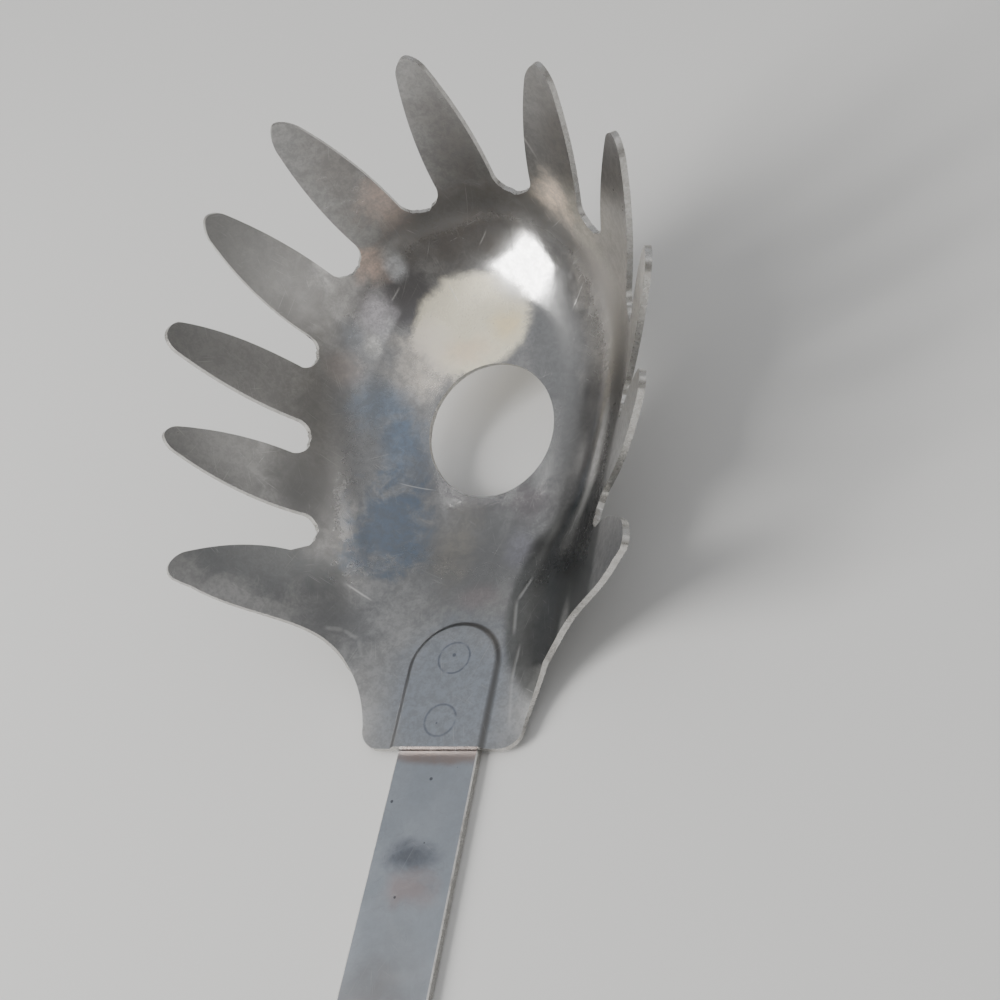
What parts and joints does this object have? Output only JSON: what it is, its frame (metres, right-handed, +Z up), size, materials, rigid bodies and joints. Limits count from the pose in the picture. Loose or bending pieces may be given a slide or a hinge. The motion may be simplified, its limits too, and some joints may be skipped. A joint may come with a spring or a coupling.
{
  "type": "pasta server",
  "caption": "Pasta server: a toothed, pressed steel scoop with a round drain hole, its neck spot-welded over the end of a flat strap handle.",
  "frame": {"origin": "centre of the bounding box's bottom, under the middle of the tool with the strap lying on z = 0", "axes": "+Y along the handle towards the teeth, +Z up out of the scoop, +X to the right seen from above with the teeth away"},
  "size_m": [0.0852, 0.31, 0.0592],
  "materials": {
    "polished_sheet": "worn polish, fine scratches and water stains",
    "brushed_strap": "dull brushed",
    "fused_weld": "fused metal, hidden between the sheets"
  },
  "bodies": {
    "root": {"server_head": "polished_sheet", "handle_strap": "brushed_strap", "front_spot_weld": "fused_weld", "rear_spot_weld": "fused_weld"}
  },
  "joints": []
}
